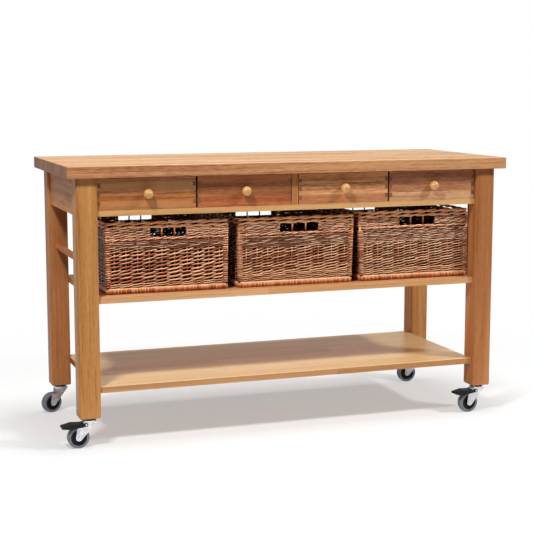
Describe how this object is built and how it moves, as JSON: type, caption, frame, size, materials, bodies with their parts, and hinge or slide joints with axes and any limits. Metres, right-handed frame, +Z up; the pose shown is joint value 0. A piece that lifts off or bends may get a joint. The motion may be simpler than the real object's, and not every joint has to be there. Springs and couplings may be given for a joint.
{
  "type": "kitchen cart",
  "caption": "Hardwood kitchen cart on swivel casters, with a thick worktop, a row of drawers, a shelf of willow baskets, a low shelf and a towel rail at one end.",
  "frame": {"origin": "on the floor, in the middle of the rectangle that the cart covers", "axes": "+Z up, +X to the right along the worktop, -Y to the front where the drawers open"},
  "size_m": [1.5498, 0.6, 0.9],
  "materials": {
    "worktop_wood": "oiled staves",
    "frame_wood": "oiled",
    "drawer_wood": "oiled",
    "inner_wood": "raw",
    "turned_wood": "oiled",
    "willow": "woven, varnished",
    "zinc": "bright zinc",
    "black_plastic": "moulded",
    "grey_rubber": "matt"
  },
  "bodies": {
    "frame": {"worktop": "worktop_wood", "leg_front_left": "frame_wood", "leg_front_right": "frame_wood", "leg_back_left": "frame_wood", "leg_back_right": "frame_wood", "end_apron_left": "frame_wood", "end_apron_right": "frame_wood", "back_apron": "frame_wood", "drawer_rail": "frame_wood", "drawer_divider": "frame_wood", "drawer_runners": "inner_wood", "towel_rail": "turned_wood", "basket_shelf": "frame_wood", "bottom_shelf": "frame_wood", "shelf_dowels": "inner_wood", "worktop_brackets": "zinc", "worktop_screws": "zinc", "caster_plates": "black_plastic"},
    "drawer_1": {"drawer_1_front": "drawer_wood", "drawer_1_sides": "inner_wood", "drawer_1_back": "inner_wood", "drawer_1_bottom": "inner_wood", "drawer_1_knob": "turned_wood"},
    "drawer_2": {"drawer_2_front": "drawer_wood", "drawer_2_sides": "inner_wood", "drawer_2_back": "inner_wood", "drawer_2_bottom": "inner_wood", "drawer_2_knob": "turned_wood"},
    "drawer_3": {"drawer_3_front": "drawer_wood", "drawer_3_sides": "inner_wood", "drawer_3_back": "inner_wood", "drawer_3_bottom": "inner_wood", "drawer_3_knob": "turned_wood"},
    "drawer_4": {"drawer_4_front": "drawer_wood", "drawer_4_sides": "inner_wood", "drawer_4_back": "inner_wood", "drawer_4_bottom": "inner_wood", "drawer_4_knob": "turned_wood"},
    "basket_1": {"basket_1": "willow"},
    "basket_2": {"basket_2": "willow"},
    "basket_3": {"basket_3": "willow"},
    "caster_front_left_swivel": {"caster_front_left_fork": "zinc", "caster_front_left_axle": "zinc"},
    "caster_front_left_wheel": {"caster_front_left_hub": "black_plastic", "caster_front_left_tyre": "grey_rubber"},
    "caster_front_left_brake": {"caster_front_left_brake": "black_plastic"},
    "caster_front_right_swivel": {"caster_front_right_fork": "zinc", "caster_front_right_axle": "zinc"},
    "caster_front_right_wheel": {"caster_front_right_hub": "black_plastic", "caster_front_right_tyre": "grey_rubber"},
    "caster_front_right_brake": {"caster_front_right_brake": "black_plastic"},
    "caster_back_left_swivel": {"caster_back_left_fork": "zinc", "caster_back_left_axle": "zinc"},
    "caster_back_left_wheel": {"caster_back_left_hub": "black_plastic", "caster_back_left_tyre": "grey_rubber"},
    "caster_back_right_swivel": {"caster_back_right_fork": "zinc", "caster_back_right_axle": "zinc"},
    "caster_back_right_wheel": {"caster_back_right_hub": "black_plastic", "caster_back_right_tyre": "grey_rubber"}
  },
  "joints": [
    {"name": "drawer_1_slide", "type": "slide", "parent": "frame", "child": "drawer_1", "axis": [0, -1, 0], "range_m": [0, 0.36]},
    {"name": "drawer_2_slide", "type": "slide", "parent": "frame", "child": "drawer_2", "axis": [0, -1, 0], "range_m": [0, 0.36]},
    {"name": "drawer_3_slide", "type": "slide", "parent": "frame", "child": "drawer_3", "axis": [0, -1, 0], "range_m": [0, 0.36]},
    {"name": "drawer_4_slide", "type": "slide", "parent": "frame", "child": "drawer_4", "axis": [0, -1, 0], "range_m": [0, 0.36]},
    {"name": "basket_1_slide", "type": "slide", "parent": "frame", "child": "basket_1", "axis": [0, -1, 0], "range_m": [0, 0.4]},
    {"name": "basket_2_slide", "type": "slide", "parent": "frame", "child": "basket_2", "axis": [0, -1, 0], "range_m": [0, 0.4]},
    {"name": "basket_3_slide", "type": "slide", "parent": "frame", "child": "basket_3", "axis": [0, -1, 0], "range_m": [0, 0.4]},
    {"name": "caster_front_left_swivel", "type": "hinge", "parent": "frame", "child": "caster_front_left_swivel", "pos_m": [-0.68588, -0.24725, 0.09], "axis": [0, 0, 1], "continuous": true},
    {"name": "caster_front_left_roll", "type": "hinge", "parent": "caster_front_left_swivel", "child": "caster_front_left_wheel", "pos_m": [-0.72088, -0.24725, 0.035], "axis": [0, 1, 0], "continuous": true},
    {"name": "caster_front_left_brake_tip", "type": "hinge", "parent": "caster_front_left_swivel", "child": "caster_front_left_brake", "pos_m": [-0.69788, -0.24725, 0.077], "axis": [0, 1, 0], "range_deg": [0, 12]},
    {"name": "caster_front_right_swivel", "type": "hinge", "parent": "frame", "child": "caster_front_right_swivel", "pos_m": [0.70662, -0.24725, 0.09], "axis": [0, 0, 1], "continuous": true},
    {"name": "caster_front_right_roll", "type": "hinge", "parent": "caster_front_right_swivel", "child": "caster_front_right_wheel", "pos_m": [0.67171, -0.24969, 0.035], "axis": [-0.0698, 0.9976, 0], "continuous": true},
    {"name": "caster_front_right_brake_tip", "type": "hinge", "parent": "caster_front_right_swivel", "child": "caster_front_right_brake", "pos_m": [0.69465, -0.24809, 0.077], "axis": [-0.0698, 0.9976, 0], "range_deg": [0, 12]},
    {"name": "caster_back_left_swivel", "type": "hinge", "parent": "frame", "child": "caster_back_left_swivel", "pos_m": [-0.68588, 0.24725, 0.09], "axis": [0, 0, 1], "continuous": true},
    {"name": "caster_back_left_roll", "type": "hinge", "parent": "caster_back_left_swivel", "child": "caster_back_left_wheel", "pos_m": [-0.71916, 0.23643, 0.035], "axis": [-0.309, 0.9511, 0], "continuous": true},
    {"name": "caster_back_right_swivel", "type": "hinge", "parent": "frame", "child": "caster_back_right_swivel", "pos_m": [0.70662, 0.24725, 0.09], "axis": [0, 0, 1], "continuous": true},
    {"name": "caster_back_right_roll", "type": "hinge", "parent": "caster_back_right_swivel", "child": "caster_back_right_wheel", "pos_m": [0.67176, 0.2503, 0.035], "axis": [0.0872, 0.9962, 0], "continuous": true}
  ]
}
